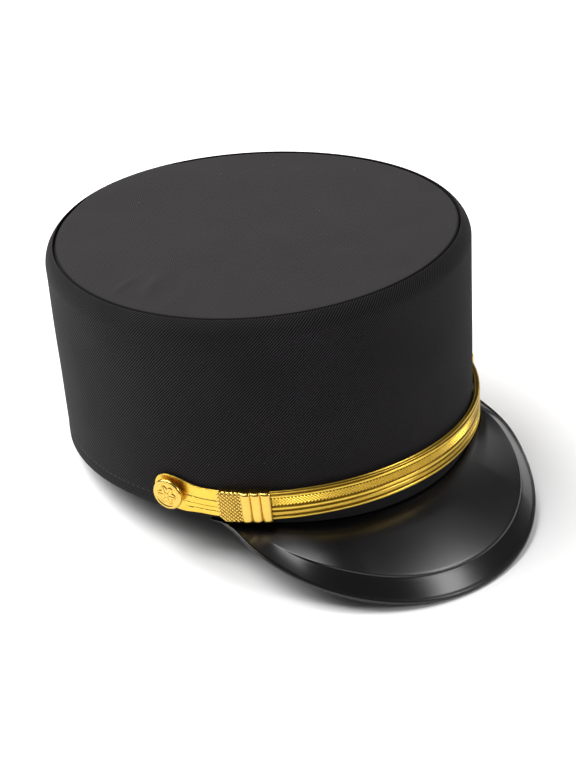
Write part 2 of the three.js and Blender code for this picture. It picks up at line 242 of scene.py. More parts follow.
# A point by the straps, at a turn in degrees: so far above their middle line and out from the crown
def strapPoint(turn, up=0.0, off=0.0):
    return sidePoint(math.radians(turn), strapMiddle(turn) + up, off)


# Millimetres round the crown for each degree of turn, at the strap
def perDegree(turn):
    return (strapPoint(turn + 0.5) - strapPoint(turn - 0.5)).length


# A place on the straps, some millimetres from the front end of a side's slide
def slideTurn(side, along):
    return side["slideFrom"] + along / perDegree(side["slideFrom"] + 6)


def newObject(name, data):
    made = bpy.data.objects.new(name, data)
    bpy.context.scene.collection.objects.link(made)
    return made


# A mesh from rows of points, in the cap's frame. Rows and columns that end where they start are merged.
def gridPiece(name, rows, uvRows=None, attribute=None, sharp=35):
    wide = len(rows[0])
    verts = [capToRow @ p for row in rows for p in row]
    faces = []
    for i in range(len(rows) - 1):
        for j in range(wide - 1):
            a = i * wide + j
            faces.append((a, a + 1, a + wide + 1, a + wide))
    mesh = bpy.data.meshes.new(name)
    mesh.from_pydata(verts, [], faces)
    if uvRows:
        flat = [uv for row in uvRows for uv in row]
        layer = mesh.uv_layers.new(name="weave")
        for loop in mesh.loops:
            layer.data[loop.index].uv = flat[loop.vertex_index]
    if attribute:
        label, valueRows = attribute
        layer = mesh.attributes.new(label, "FLOAT", "POINT")
        layer.data.foreach_set("value", [v for row in valueRows for v in row])
    return tidyMesh(name, mesh, sharp)


def tidyMesh(name, mesh, sharp):
    work = bmesh.new()
    work.from_mesh(mesh)
    bmesh.ops.remove_doubles(work, verts=work.verts, dist=0.004 * mm)
    bmesh.ops.dissolve_degenerate(work, edges=work.edges, dist=0.002 * mm)
    bmesh.ops.recalc_face_normals(work, faces=work.faces)
    work.to_mesh(mesh)
    work.free()
    mesh.shade_smooth()
    mesh.set_sharp_from_angle(angle=math.radians(sharp))
    return newObject(name, mesh)


def settle(piece, material, slotName, *nodes):
    if not piece.data.materials:
        piece.data.materials.append(material)
    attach(piece, "root")
    if nodes:
        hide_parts(*nodes)
    print("made", piece.name, len(piece.data.polygons), "faces")


# Materials
def hexColour(text):
    channels = [int(text[i:i + 2], 16) / 255 for i in (1, 3, 5)]
    linear = [c / 12.92 if c <= 0.04045 else ((c + 0.055) / 1.055) ** 2.4 for c in channels]
    return (*linear, 1.0)


def node(tree, kind, inputs=None, **settings):
    made = tree.nodes.new(kind)
    for key, value in settings.items():
        setattr(made, key, value)
    for key, value in (inputs or {}).items():
        if isinstance(value, bpy.types.NodeSocket):
            tree.links.new(value, made.inputs[key])
        else:
            made.inputs[key].default_value = value
    return made


def newMaterial(name):
    material = bpy.data.materials.new(name)
    material.use_nodes = True
    material.node_tree.nodes.clear()
    return material, material.node_tree


def principled(tree, inputs):
    shader = node(tree, "ShaderNodeBsdfPrincipled", inputs)
    node(tree, "ShaderNodeOutputMaterial", {0: shader.outputs[0]})


# Fine noise, with grains so many millimetres long
def grains(tree, vector, size, detail):
    made = node(tree, "ShaderNodeTexNoise", {0: vector, "Scale": 1 / (size * mm), "Detail": detail})
    return made.outputs["Fac"]


def blend(tree, share, first, second, **settings):
    made = node(tree, "ShaderNodeMix", {0: share, 6: first, 7: second}, data_type="RGBA", **settings)
    return made.outputs[2]


# A look's roughness, a little less or more as a noise goes from low to high
def roughly(tree, value, low, high, look, play):
    made = node(tree, "ShaderNodeMapRange", {
        0: value, 1: low, 2: high, 3: look["roughness"] - play, 4: look["roughness"] + play})
    return made.outputs[0]


def bumpy(tree, look, deep, height):
    made = node(tree, "ShaderNodeBump", {
        "Strength": look["relief"], "Distance": deep * mm, "Height": height})
    return made.outputs[0]


def twillCloth(name, look):
    material, tree = newMaterial(name)
    uv = node(tree, "ShaderNodeUVMap", uv_map="weave")
    turned = node(tree, "ShaderNodeMapping", {
        0: uv.outputs[0], "Rotation": (0, 0, math.radians(look["angle"]))})
    # Wales: the raised diagonal ridges of twill; a band wave repeats every 0.314 / scale
    wales = node(tree, "ShaderNodeTexWave", {
        0: turned.outputs[0], "Scale": 0.314 / (look["pitch"] * mm), "Distortion": look["uneven"],
        "Detail": 1.0, "Detail Scale": 0.25}, bands_direction="X")
    # Yarns: each wale is a row of short yarns, drawn long across the wales
    stretched = node(tree, "ShaderNodeMapping", {0: turned.outputs[0], "Scale": (1, 0.45, 1)})
    yarns = grains(tree, stretched.outputs[0], look["yarn"], 2.0)
    patches = grains(tree, uv.outputs[0], look["patch"], 3.0)
    weave = node(tree, "ShaderNodeMix", {0: look["mottle"], 2: wales.outputs["Fac"], 3: yarns})
    shade = node(tree, "ShaderNodeMapRange", {0: weave.outputs[0], 1: 0.2, 2: 0.8})
    # Painted shade: the valleys between the wales take a near-black colour, the ridges the lighter wale
    # colour
    cloth = blend(tree, shade.outputs[0], hexColour(look["valleyShade"]), hexColour(look["wale"]))
    worn = node(tree, "ShaderNodeMapRange", {
        0: patches, 1: 0.3, 2: 0.7, 3: 1 - look["wear"], 4: 1 + look["wear"]})
    varied = blend(tree, 1.0, cloth, worn.outputs[0], blend_type="MULTIPLY")
    # Lint: a few pale specks
    specks = grains(tree, uv.outputs[0], look["lint"], 0.0)
    lint = node(tree, "ShaderNodeMapRange", {0: specks, 1: look["lintFrom"], 2: look["lintFrom"] + 0.02})
    linty = blend(tree, lint.outputs[0], varied, hexColour("#6a686a"))
    bump = bumpy(tree, look, 0.12, weave.outputs[0])
    # Painted shade: deep in the seam the colour goes nearly black, and a little darker along the fold
    # beside it, where less light falls
    seam = node(tree, "ShaderNodeAttribute", attribute_name="seam")
    shaded = blend(tree, seam.outputs["Fac"], linty, hexColour("#010101"))
    principled(tree, {
        "Base Color": shaded, "Roughness": look["roughness"], "Specular IOR Level": 0.08,
        "Sheen Weight": look["sheen"], "Sheen Roughness": 0.5, "Normal": bump})
    return material


# Black wool and polyester twill, woven: matt, with fine slanting ridges that catch a little light, and
# shade painted near black in the valleys between them.
# The real wales lie 0.8 mm apart, too fine for the render, so they are drawn a little coarser.
sideCloth = twillCloth("blackTwillWovenSide", {
    "angle": 43, "pitch": 0.98, "uneven": 0.5, "yarn": 0.5, "patch": 30,
    "valleyShade": "#010101", "wale": "#2d2b2d", "roughness": 0.85, "sheen": 0.02,
    "lint": 1.6, "lintFrom": 0.915, "relief": 1.0, "mottle": 0.22, "wear": 0.12,
})
# The same twill on the flat top, where it is pressed smoother and its ridges hardly show. Its colours are
# painted lighter than the side's, as painted light for the brighter light that falls on the top.
topCloth = twillCloth("blackTwillWovenTop", {
    "angle": 30, "pitch": 0.98, "uneven": 0.6, "yarn": 0.5, "patch": 26,
    "valleyShade": "#141213", "wale": "#2a2829", "roughness": 0.85, "sheen": 0.04,
    "lint": 1.6, "lintFrom": 0.91, "relief": 0.35, "mottle": 0.75, "wear": 0.06,
})


def mouldedPlastic(name, look):
    material, tree = newMaterial(name)
    place = node(tree, "ShaderNodeTexCoord").outputs["Object"]
    swell = grains(tree, place, look["swell"], 1.0)
    grain = grains(tree, place, look["grain"], 2.0)
    height = node(tree, "ShaderNodeMix", {0: look["grainShare"], 2: swell, 3: grain})
    rough = roughly(tree, swell, 0.0, 1.0, look, 0.03)
    bump = bumpy(tree, look, 0.1, height.outputs[0])
    principled(tree, {
        "Base Color": hexColour(look["colour"]), "Roughness": rough, "IOR": 1.5, "Normal": bump})
    return material


# Black vinyl sheet, vacuum moulded over a form: glossy with soft broad highlights.
peakPlastic = mouldedPlastic("blackVinylMoulded", {
    "colour": "#070607", "roughness": 0.25, "swell": 22, "grain": 0.6, "grainShare": 0.1, "relief": 0.12,
})


def giltSurface(name, look):
    material, tree = newMaterial(name)
    place = node(tree, "ShaderNodeTexCoord").outputs["Object"]
    stretched = node(tree, "ShaderNodeMapping", {0: place, "Scale": look["stretch"]})
    brushed = grains(tree, stretched.outputs[0], look["grain"], 2.0)
    patches = grains(tree, place, look["patch"], 2.0)
    # Painted shade: where the groove attribute marks a groove or recess, the colour goes towards a darker
    # brown
    depth = node(tree, "ShaderNodeAttribute", attribute_name="groove")
    tone = blend(tree, patches, hexColour(look["deep"]), hexColour(look["colour"]))
    grooved = blend(tree, depth.outputs["Fac"], tone, hexColour(look["grooveShade"]))
    rough = roughly(tree, brushed, 0.3, 0.7, look, 0.06)
    bump = bumpy(tree, look, 0.05, brushed)
    principled(tree, {
        "Base Color": grooved, "Metallic": 1.0, "Roughness": rough, "Normal": bump})
    return material


# Gilt foil over moulded vinyl: a strong yellow gold that is a little soft, with brown shade painted in its
# grooves.
strapGilt = giltSurface("giltFoilMoulded", {
    "colour": "#ecca58", "deep": "#dcb444", "grooveShade": "#6b4c14", "roughness": 0.3,
    "stretch": (1, 1, 1), "grain": 0.25, "patch": 6, "relief": 0.35,
})
# Gilt brass, pressed and brushed: a paler bright gold with fine level brush lines, and a little brown
# shade painted in the lines of the buttons' flowers.
pressedBrass = giltSurface("giltBrassPressed", {
    "colour": "#e6c364", "deep": "#d8b050", "grooveShade": "#c2943a", "roughness": 0.22,
    "stretch": (0.1, 0.1, 1), "grain": 0.2, "patch": 6, "relief": 0.4,
})


def spunThread(name, look):
    material, tree = newMaterial(name)
    place = node(tree, "ShaderNodeTexCoord").outputs["Object"]
    twist = grains(tree, place, look["twist"], 1.0)
    bump = bumpy(tree, look, 0.05, twist)
    principled(tree, {
        "Base Color": hexColour(look["colour"]), "Roughness": look["roughness"], "Sheen Weight": 0.1,
        "Normal": bump})
    return material


# Black polyester sewing thread, spun: a little smoother than the cloth, and painted darker than it, which
# stands in for the shade in its stitch holes.
hemThread = spunThread("blackThreadSpun", {
    "colour": "#0a0a0a", "roughness": 0.6, "twist": 0.2, "relief": 0.5,
})


# The outside of the crown's side, with the stitch line's groove and the fuller hem below it
def cloth(turn, height, off):
    point = sidePoint(turn, height, off)
    above = height - rimHeight(turn)
    away = smooth(20, 45, above) * crown["wave"]
    lie = noise.noise(point / crown["waveSize"]) * away
    seam = crown["hemGroove"] * math.exp(-((above - crown["hemHeight"]) / 0.7) ** 2)
    fuller = crown["hemFuller"] * (1 - smooth(crown["hemHeight"] - 0.5, crown["hemHeight"] + 0.5, above))
    return point + outwards(turn) * (lie - seam + fuller)


# Heights above the lower edge, closest together round the stitch line's groove
hemLevels = (1.5, 2.5, 3.5, 4.5, 5.0, 5.4, 5.8, 6.2, 6.6, 7.0, 7.4, 8.0, 9.0)


# A section of the side: up from the folded hem, over the top edge, in to the seam, down the inside
def sideColumn(turn):
    fold = crown["hemFold"]
    rim = rimHeight(turn)
    column = []
    for degrees in steadily(-180, 0, 10):
        a = math.radians(degrees)
        column.append(sidePoint(turn, rim + fold + fold * math.sin(a), -fold + fold * math.cos(a)))
    for height in hemLevels:
        column.append(cloth(turn, rim + height, 0))
    inset = topPanel["seamInset"]
    last = math.radians(crown["edgeTurn"])
    r = (inset - topPanel["lipShort"]) / (1 - math.cos(last))
    below = -topPanel["lipBelow"] - r * math.sin(last)
    top = topPoint(turn, 0, below).z
    for height in steadily(rim + crown["wallFrom"], top, 34):
        column.append(cloth(turn, height, 0))
    lie = column[-1] - sidePoint(turn, top)
    for share in steadily(0, 1, crown["foldPoints"])[1:]:
        a = last * share
        point = topPoint(turn, r * (1 - math.cos(a)), below + r * math.sin(a))
        column.append(point + lie * (1 - share))
    for deeper in (0.4, 0.8, topPanel["turnedIn"]):
        column.append(topPoint(turn, inset + 0.1 * deeper, -deeper))
    bevel = crown["innerBevel"]
    column.append(topPoint(turn, crown["wall"] + bevel, -topPanel["turnedIn"]))
    column.append(topPoint(turn, crown["wall"], -topPanel["turnedIn"] - bevel))
    start = column[-1]
    foot = column[0]
    for share in steadily(0, 1, crown["insidePoints"])[1:]:
        column.append(start.lerp(foot, share))
    return column


def crownSide():
    turns = [math.radians(a) for a in steadily(-180, 180, crown["around"])]
    columns = [sideColumn(turn) for turn in turns]
    along = [0.0]
    for before, after in zip(turns, turns[1:]):
        along.append(along[-1] + (sidePoint(after, 50) - sidePoint(before, 50)).length * mm)
    uvColumns = []
    for column, u in zip(columns, along):
        v = 0.0
        uvs = []
        for i, point in enumerate(column):
            v += (point - column[i - 1]).length * mm if i else 0
            uvs.append((u, v))
        uvColumns.append(uvs)
    # How much shade is painted: none up the wall, more and more over the fold, all of it down in the seam
    wall = len(columns[0]) - crown["foldPoints"] - crown["seamPoints"] - crown["insidePoints"]
    seam = [0.0] * wall + steadily(0.04, crown["foldShade"], crown["foldPoints"] - 2) + [0.1]
    seam += [1.0] * crown["seamPoints"] + [0.0] * crown["insidePoints"]
    piece = gridPiece("crownSideCloth", columns, uvColumns, ("seam", [seam] * len(columns)))
    for vertex in piece.data.vertices:
        vertex.co.z = max(vertex.co.z, 0.0)  # the cloth is pressed flat where it rests
    settle(piece, sideCloth, "cloth", "crown_side")


# Puckers in the top panel: where, which way they run, how long and wide, and how high, in mm
puckers = [
    {"at": (-78, -3), "towards": 20, "long": 8, "wide": 2.2, "high": 1.2},
    {"at": (-69, -13), "towards": 35, "long": 12, "wide": 3.0, "high": 1.0},
    {"at": (-74, -32), "towards": 50, "long": 14, "wide": 3.0, "high": 0.8},
    {"at": (-66, -24), "towards": 40, "long": 12, "wide": 4.0, "high": -0.8},
]


def pucker(place):
    level = 0.0
    for one in puckers:
        x = place.x - one["at"][0]
        y = place.y - one["at"][1]
        a = math.radians(one["towards"])
        along = x * math.cos(a) + y * math.sin(a)
        across = y * math.cos(a) - x * math.sin(a)
        level += one["high"] * math.exp(-(along / one["long"]) ** 2 - (across / one["wide"]) ** 2)
    return level


# How high the panel lies at a share of the way from its middle to its edge
def panelLevel(share, turn):
    place = topPoint(turn, 5, 0, share)
    elsewhere = Vector((3, 7, 1))  # so that its waves aren't the side's
    lie = noise.noise(place / topPanel["waveSize"] + elsewhere) * topPanel["wave"] + pucker(place)
    # At the back the panel stands over its seam and hides it
    fromBack = abs((math.degrees(turn) - topPanel["liftedAt"] + 180) % 360 - 180)
    lift = smooth(topPanel["liftEnds"], topPanel["liftWhole"], fromBack)
    lift = topPanel["lifted"] * lift * smooth(0.6, 0.97, share)
    return topPanel["dome"] * (1 - share ** 2) - topPanel["below"] + lift + lie * (1 - share ** 6)


def crownTop():
    turns = [math.radians(a) for a in steadily(-180, 180, crown["around"])]
    inset = topPanel["seamInset"] + topPanel["seamGap"]
    roll = topPanel["edgeRoll"]
    under = -topPanel["turnedIn"] - gap
    margin = crown["wall"] + gap
    columns = []
    for turn in turns:
        column = []
        for share in steadily(0, 1, topPanel["rings"]):
            column.append(topPoint(turn, inset + roll, panelLevel(share, turn), share))
        for degrees in steadily(15, 75, 4):
            a = math.radians(degrees)
            sink = topPanel["seamDepth"] * (1 - math.cos(a))
            column.append(topPoint(turn, inset + roll * (1 - math.sin(a)), panelLevel(1, turn) - sink))
        column.append(topPoint(turn, inset, -topPanel["seamDepth"] - 0.4))
        column.append(topPoint(turn, inset + 0.1, under))
        column.append(topPoint(turn, margin, under))
        column.append(topPoint(turn, margin, under - topPanel["margin"]))
        column.append(topPoint(turn, inset + topPanel["marginInside"], under - topPanel["margin"]))
        for share in steadily(0.93, 0, 10):
            level = panelLevel(share, turn) - topPanel["thickness"]
            column.append(topPoint(turn, inset + roll, level, share))
        columns.append(column)
    uvColumns = [[(p.x * mm, p.y * mm) for p in column] for column in columns]
    # Painted shade where the panel's edge goes down into the seam
    seam = [0.0] * (topPanel["rings"] + 1) + [0.2, 0.7, 0.95] + [1.0] * 5
    seam += [0.0] * (len(columns[0]) - len(seam))
    piece = gridPiece("crownTopPanel", columns, uvColumns, ("seam", [seam] * len(columns)))
    settle(piece, topCloth, "cloth", "crown_top")


# The peak, in upright planes through the crown's middle
def peakOutline(angle):
    a = math.radians(angle)
    turn = math.atan2(crown["rimLong"] * math.sin(a), crown["rimWide"] * math.cos(a))
    rim = sidePoint(turn, rimHeight(turn))
    root = Vector((math.hypot(rim.x, rim.y), rim.z - gap))
    edge = Vector((edgeReach(angle), edgeHeight(angle)))
    chord = edge - root
    length = chord.length
    up = Vector((-chord.y, chord.x)) / length
    long = min(length / (edgeReach(0) - crown["rimLong"]), 1.0)
    band = min(peak["bandWide"], peak["bandMost"] * length)
    field = 1 - band / length
    # The ridge dies away towards the ends, and sooner on the wearer's right
    lasts = smooth(peak["ridgeFrom"], peak["ridgeFull"], length)
    lasts = lasts * smooth(peak["ridgeGone"], peak["ridgeWhole"], angle)
    crest = peak["crest"] * long * 4 * field * (1 - field) * lasts
    bead = min(peak["beadRadius"], length * 0.3)
    rise = peak["fieldRise"] * min(length / peak["stepFades"], 1.0) ** 1.5 * lasts
    thickness = peak["thickness"] * min(0.15 + length / peak["endsThin"], 1.0)
    bead *= thickness / peak["thickness"]

    def onSurface(fromEdge, lift):
        share = 1 - fromEdge / length
        climb, fall = share / field, (1 - share) / (1 - field)
        # The lower of the two, softly: the surface climbs to the ridge, then falls to the edge
        climbed = (climb + fall - math.hypot(climb - fall, 0.05)) / 2
        arch = climbed * (1 - climbed) if share < field else 0.0  # the band is flat
        over = crest * climbed + peak["bow"] * long * 4 * lerp(share * (1 - share), arch, lasts)
        return root + chord * share + up * (over + lift)

    inside = root.x - crown["wall"] - gap
    flangeTop = root.y + gap + peak["flange"]
    outline = [Vector((inside, height)) for height in steadily(flangeTop, root.y, 4)]
    outline += [Vector((x, root.y)) for x in steadily(inside, root.x, 3)[1:-1]]
    ridge = min(peak["ridgeWide"], band * 0.3, (length - band) * 0.5)
    for fromEdge in steadily(length, band + ridge, 30):
        swell = smooth(0, peak["fieldSwell"], 1 - fromEdge / length)
        outline.append(onSurface(fromEdge, rise * swell))
    full = rise * smooth(0, peak["fieldSwell"], 1 - (band + ridge) / length)
    for share in steadily(0, 1, 8)[1:]:
        outline.append(onSurface(band + ridge * (1 - share), full * (1 - smooth(0, 1, share))))
    for fromEdge in steadily(band, bead * 2.1, 14)[1:]:
        outline.append(onSurface(fromEdge, 0))
    drop = peak["beadDrop"] * bead / peak["beadRadius"]
    for degrees in steadily(150, -100, 20):
        b = math.radians(degrees)
        outline.append(onSurface(bead - bead * math.cos(b), bead * math.sin(b) - drop))
    for fromEdge in steadily(bead * 1.8, length * 0.9, 16)[1:]:
        outline.append(onSurface(fromEdge, -thickness))
    innermost = inside - peak["flangeThick"]
    outline.append(Vector((innermost, root.y - thickness)))
    outline += [Vector((innermost, height)) for height in steadily(root.y, flangeTop, 4)]
    return outline + [outline[0]]


def fanCap(row):
    middle = sum(row[:-1], Vector()) / (len(row) - 1)
    return [middle.copy() for _ in row]


def peakPiece():
    widest = peakEdge[-1]["angle"]
    rows = []
    for angle in steadily(-widest, widest, peak["along"]):
        a = math.radians(angle)
        rows.append([Vector((p.x * math.sin(a), -p.x * math.cos(a), p.y)) for p in peakOutline(angle)])
    rows = [fanCap(rows[0]), *rows, fanCap(rows[-1])]
    settle(gridPiece("peakMoulded", rows, sharp=50), peakPlastic, "peak_plastic", "peak")


# The straps: how far a strap stands out at a share of its width, from 0 at a groove's floor to 1
def ribShape(ribs, share):
    for rib in ribs:
        if rib["low"] <= share <= rib["high"]:
            if rib["finish"] == "flat":
                return 1.0
            across = 2 * (share - rib["low"]) / (rib["high"] - rib["low"]) - 1
            sharpness = 4 if rib["finish"] == "plain" else 12
            return rib["rise"] * max(1 - across ** sharpness, 0.0) ** 0.5
    return 0.0


# Millimetres past the middle of the button at this end of the straps
def pastButton(turn):
    buttonTurn = (right if turn < 0 else left)["buttonTurn"]
    return (abs(turn) - buttonTurn) * perDegree(buttonTurn)


def halfHeight(turn):
    fromButton = pastButton(turn)
    if fromButton > 0:
        return math.sqrt(max(strap["tabRadius"] ** 2 - fromButton ** 2, 0.01))
    widened = smooth(-strap["neck"][0], -strap["neck"][1], fromButton)
    return lerp(strap["width"] / 2, strap["tabRadius"], widened)


def tabEnd(side):
    return side["buttonTurn"] + (strap["tabRadius"] - 0.001) / perDegree(side["buttonTurn"])


# A section of a strap, with ribs on its front and a bead along both edges and round the tab
def strapRow(turn, ribs, off, thick, groove):
    half = halfHeight(turn)
    fromButton = pastButton(turn)
    ribbed = 1 - smooth(-strap["ribsEnd"][0], -strap["ribsEnd"][1], fromButton)
    beside = 0.012  # the next point beyond a rib, as a share of the width
    shares = {0.0, 0.004, 0.012, 0.02, 0.035, 0.05, 0.95, 0.965, 0.98, 0.988, 0.996, 1.0}
    for rib in ribs:
        shares |= {round(s, 4) for s in steadily(rib["low"], rib["high"], 8)}
        shares |= {round(rib["low"] - beside, 4), round(rib["high"] + beside, 4)}
    row = []
    depths = []
    for share in sorted(s for s in shares if 0 <= s <= 1):
        depth = (1 - ribShape(ribs, share)) * ribbed
        up = (2 * share - 1) * half
        fromEdge = half - abs(up)
        if fromButton > 0:
            fromEdge = strap["tabRadius"] - math.hypot(up, fromButton)
        bevel = strap["edgeBevel"] * (1 - smooth(0, strap["edgeBevel"], fromEdge))
        bead = strap["beadRise"] * math.exp(-((fromEdge / strap["edgeBead"]) ** 4)) * (1 - ribbed)
        out = off + thick - groove * depth - bevel + bead
        row.append(strapPoint(turn, up, out))
        # How much shade is painted here, most on a groove's floor
        depths.append(min(max(depth, 0.0), 1.0))
    for share in (0.985, 0.7, 0.4, 0.015):
        up = (2 * share - 1) * half
        row.append(strapPoint(turn, up, off))
        depths.append(0.0)
    return row + [row[0]], depths + [depths[0]]


def strapTurns(start, end):
    side = right if start < -right["buttonTurn"] else left
    turns = steadily(start, end, round((end - start) / strap["stepDegrees"]))
    reach = tabEnd(side) - side["buttonTurn"]
    tab = []
    for degrees in steadily(2, 90, 22):
        past = reach * math.sin(math.radians(degrees))
        tab.append(side["sign"] * (side["buttonTurn"] + past))
    return sorted([t for t in turns if t * side["sign"] <= side["buttonTurn"]] + tab)


def applyModifiers(piece):
    ready = piece.evaluated_get(bpy.context.evaluated_depsgraph_get())
    mesh = bpy.data.meshes.new_from_object(ready)
    piece.modifiers.clear()
    piece.data = mesh


def cutAway(piece, cutter):
    cut = piece.modifiers.new("cut", "BOOLEAN")
    cut.operation = "DIFFERENCE"
    cut.object = cutter
    cut.solver = "EXACT"
    applyModifiers(piece)
    bpy.data.objects.remove(cutter)


def punchHole(piece, side):
    place, axis = buttonPlace(side)
    radius = button["shankRadius"] + gap
    deep = 12  # more than enough to pass through both straps
    bpy.ops.mesh.primitive_cylinder_add(vertices=32, radius=radius * mm, depth=deep * mm)
    cutter = bpy.context.object
    turned = axis.to_track_quat("Z", "Y").to_matrix().to_4x4()
    cutter.data.transform(Matrix.Translation(place) @ turned)
    cutAway(piece, cutter)


def buttonPlace(side):
    turn = math.radians(side["sign"] * side["buttonTurn"])
    place = capToRow @ sidePoint(turn, button["height"])
    axis = (capToRow.to_3x3() @ outwards(turn)).normalized()
    return place, axis


def innerOff(turn):
    return strap["innerOff"]


def outerOff(turn):
    slideEnd = slideTurn(left, slide["length"])
    lowered = smooth(slideEnd, slideEnd + strap["landing"], turn)
    return lerp(strap["outerOff"], strap["innerOff"], lowered)


def strapPiece(name, start, end, ribs, offAt, thick, groove, side, replaced):
    turns = strapTurns(start, end)
    rows, depths = zip(*[strapRow(turn, ribs, offAt(turn), thick, groove) for turn in turns])
    rows = [fanCap(rows[0]), *rows, fanCap(rows[-1])]
    depths = [[0.0] * len(depths[0]), *depths, [0.0] * len(depths[0])]
    piece = gridPiece(name, rows, attribute=("groove", depths), sharp=60)
    punchHole(piece, side)
    settle(piece, strapGilt, "gilt_strap", replaced)


# Geometry Nodes: one small stud or thread at each vertex of a carrier, turned to the vertex's own frame
def repeatTree(name, shape, material):
    tree = bpy.data.node_groups.new(name, "GeometryNodeTree")
    tree.interface.new_socket("Geometry", in_out="INPUT", socket_type="NodeSocketGeometry")
    sizes = {}
    for label in ("Length", "Width", "Height"):
        socket = tree.interface.new_socket(label, in_out="INPUT", socket_type="NodeSocketFloat")
        sizes[label] = socket.identifier
    tree.interface.new_socket("Geometry", in_out="OUTPUT", socket_type="NodeSocketGeometry")
    start = node(tree, "NodeGroupInput")
    along = node(tree, "GeometryNodeInputNamedAttribute", {"Name": "along"}, data_type="FLOAT_VECTOR")
    out = node(tree, "GeometryNodeInputNamedAttribute", {"Name": "out"}, data_type="FLOAT_VECTOR")
    facing = node(tree, "FunctionNodeAxesToRotation", {0: out.outputs[0], 1: along.outputs[0]},
                  primary_axis="Z", secondary_axis="X")
    if shape == "stud":
        solid = node(tree, "GeometryNodeMeshCone", {
            "Vertices": 4, "Radius Top": 0.27, "Radius Bottom": 0.5, "Depth": 1.0})
    else:
        solid = node(tree, "GeometryNodeMeshIcoSphere", {"Radius": 0.5, "Subdivisions": 2})
    size = node(tree, "ShaderNodeCombineXYZ", {
        0: start.outputs["Length"], 1: start.outputs["Width"], 2: start.outputs["Height"]})
    copies = node(tree, "GeometryNodeInstanceOnPoints", {
        "Points": start.outputs[0], "Instance": solid.outputs[0],
        "Rotation": facing.outputs[0], "Scale": size.outputs[0]})
    real = node(tree, "GeometryNodeRealizeInstances", {0: copies.outputs[0]})
    painted = node(tree, "GeometryNodeSetMaterial", {0: real.outputs[0], "Material": material})
    node(tree, "NodeGroupOutput", {0: painted.outputs[0]})
    return tree, sizes


# Places are (point, along, out) in the cap's frame, and size is length, width and height in mm
def repeatPiece(name, shape, places, size, material):
    turning = capToRow.to_3x3()
    carrier = bpy.data.meshes.new(name)
    carrier.from_pydata([capToRow @ p for p, _, _ in places], [], [])
    for label, column in (("along", 1), ("out", 2)):
        layer = carrier.attributes.new(label, "FLOAT_VECTOR", "POINT")
        vectors = [(turning @ place[column]).normalized() for place in places]
        layer.data.foreach_set("vector", [c for v in vectors for c in v])
    piece = newObject(name, carrier)
    tree, sizes = repeatTree(name + "Nodes", shape, material)
    modifier = piece.modifiers.new("repeat", "NODES")
    modifier.node_group = tree
    for label, value in zip(("Length", "Width", "Height"), size):
        modifier[sizes[label]] = value * mm
    applyModifiers(piece)
    if shape == "stud":
        piece.data.shade_flat()
    else:
        piece.data.shade_smooth()
    return piece


def alongStrap(turn):
    return (strapPoint(turn + 0.5) - strapPoint(turn - 0.5)).normalized()


# Rows of studs on the strap's knurled and beaded ribs, staggered so that they make diamonds
studs = {
    "knurled": {"pitch": 1.5, "rows": 5, "size": (1.5, 1.4, 0.22)},
    "beaded": {"pitch": 0.8, "rows": 2, "size": (0.62, 0.62, 0.15)},
}


def strapStuds(finish, start, end):
    look = studs[finish]
    rib = next(r for r in outerRibs if r["finish"] == finish)
    places = []
    level = strap["outerThick"] - strap["outerGroove"] * (1 - rib["rise"])
    turn = start
    column = 0
    while turn < end:
        step = look["pitch"] / 2 / perDegree(turn)
        for row in range(look["rows"]):
            if (row + column) % 2 == 0:
                share = lerp(rib["low"], rib["high"], (row + 0.5) / look["rows"])
                up = (2 * share - 1) * halfHeight(turn)
                point = strapPoint(turn, up, outerOff(turn) + level)
                places.append((point, alongStrap(turn), outwards(math.radians(turn))))
        turn += step
        column += 1
    return places


def strapPieces():
    inside = slide["length"] - strap["endInside"]
    strapPiece("strapInnerBand", -tabEnd(right), slideTurn(left, inside), innerRibs, innerOff,
               strap["innerThick"], strap["innerGroove"], right, "strap_inner")
    strapPiece("strapOuterBand", -slideTurn(right, inside), tabEnd(left), outerRibs, outerOff,
               strap["outerThick"], strap["outerGroove"], left, "strap_outer")
    short = 0.4  # degrees between the studs and the slides
    for finish in ("knurled", "beaded"):
        places = strapStuds(finish, -right["slideFrom"] + short, left["slideFrom"] - short)
        piece = repeatPiece("strapStuds_" + finish, "stud", places, studs[finish]["size"], strapGilt)
        settle(piece, strapGilt, "gilt_strap")


# A slide: a sleeve round both straps, ribbed at the end nearer the front and knurled at the other
slideFront = strap["outerOff"] + strap["outerThick"] + gap + slide["frontThick"]


def cutCorner(corner, fromEnd):
    length, height = corner
    share = 1 - min(fromEnd / length, 1.0)
    return height * (1 - math.sqrt(max(1 - share * share, 0.0)))


def slideFrontAt(along):
    if along > slide["ribbed"]:
        return slideFront + slide["knurlRise"]
    across = along / slide["ribbed"] * slide["ribs"] % 1
    return slideFront + slide["rib"] * math.sqrt(max(1 - (2 * across - 1) ** 2, 0.0))


def slideOutline(side, along):
    half = slide["height"] / 2
    low = -half + cutCorner(slide["lowCorner"], slide["length"] - along)
    high = half - cutCorner(slide["topCorner"], slide["length"] - along)
    front = slideFrontAt(along)
    bevel = slide["bevel"]
    back = slide["backBevel"]
    outline = []
    for degrees in steadily(0, 90, 8):
        a = math.radians(degrees)
        outline.append((low + bevel * (1 - math.cos(a)), front - bevel * (1 - math.sin(a))))
    for share in steadily(0, 1, 12)[1:-1]:
        outline.append((lerp(low + bevel, high - bevel, share), front))
    for degrees in steadily(90, 0, 8):
        a = math.radians(degrees)
        outline.append((high - bevel * (1 - math.cos(a)), front - bevel * (1 - math.sin(a))))
    outline += [(high, lerp(front - bevel, gap + back, 0.5)), (high, gap + back), (high - back, gap)]
    outline += [(lerp(high, low, share), gap) for share in (0.25, 0.5, 0.75)]
    outline += [(low + back, gap), (low, gap + back), (low, lerp(front - bevel, gap + back, 0.5))]
    return outline


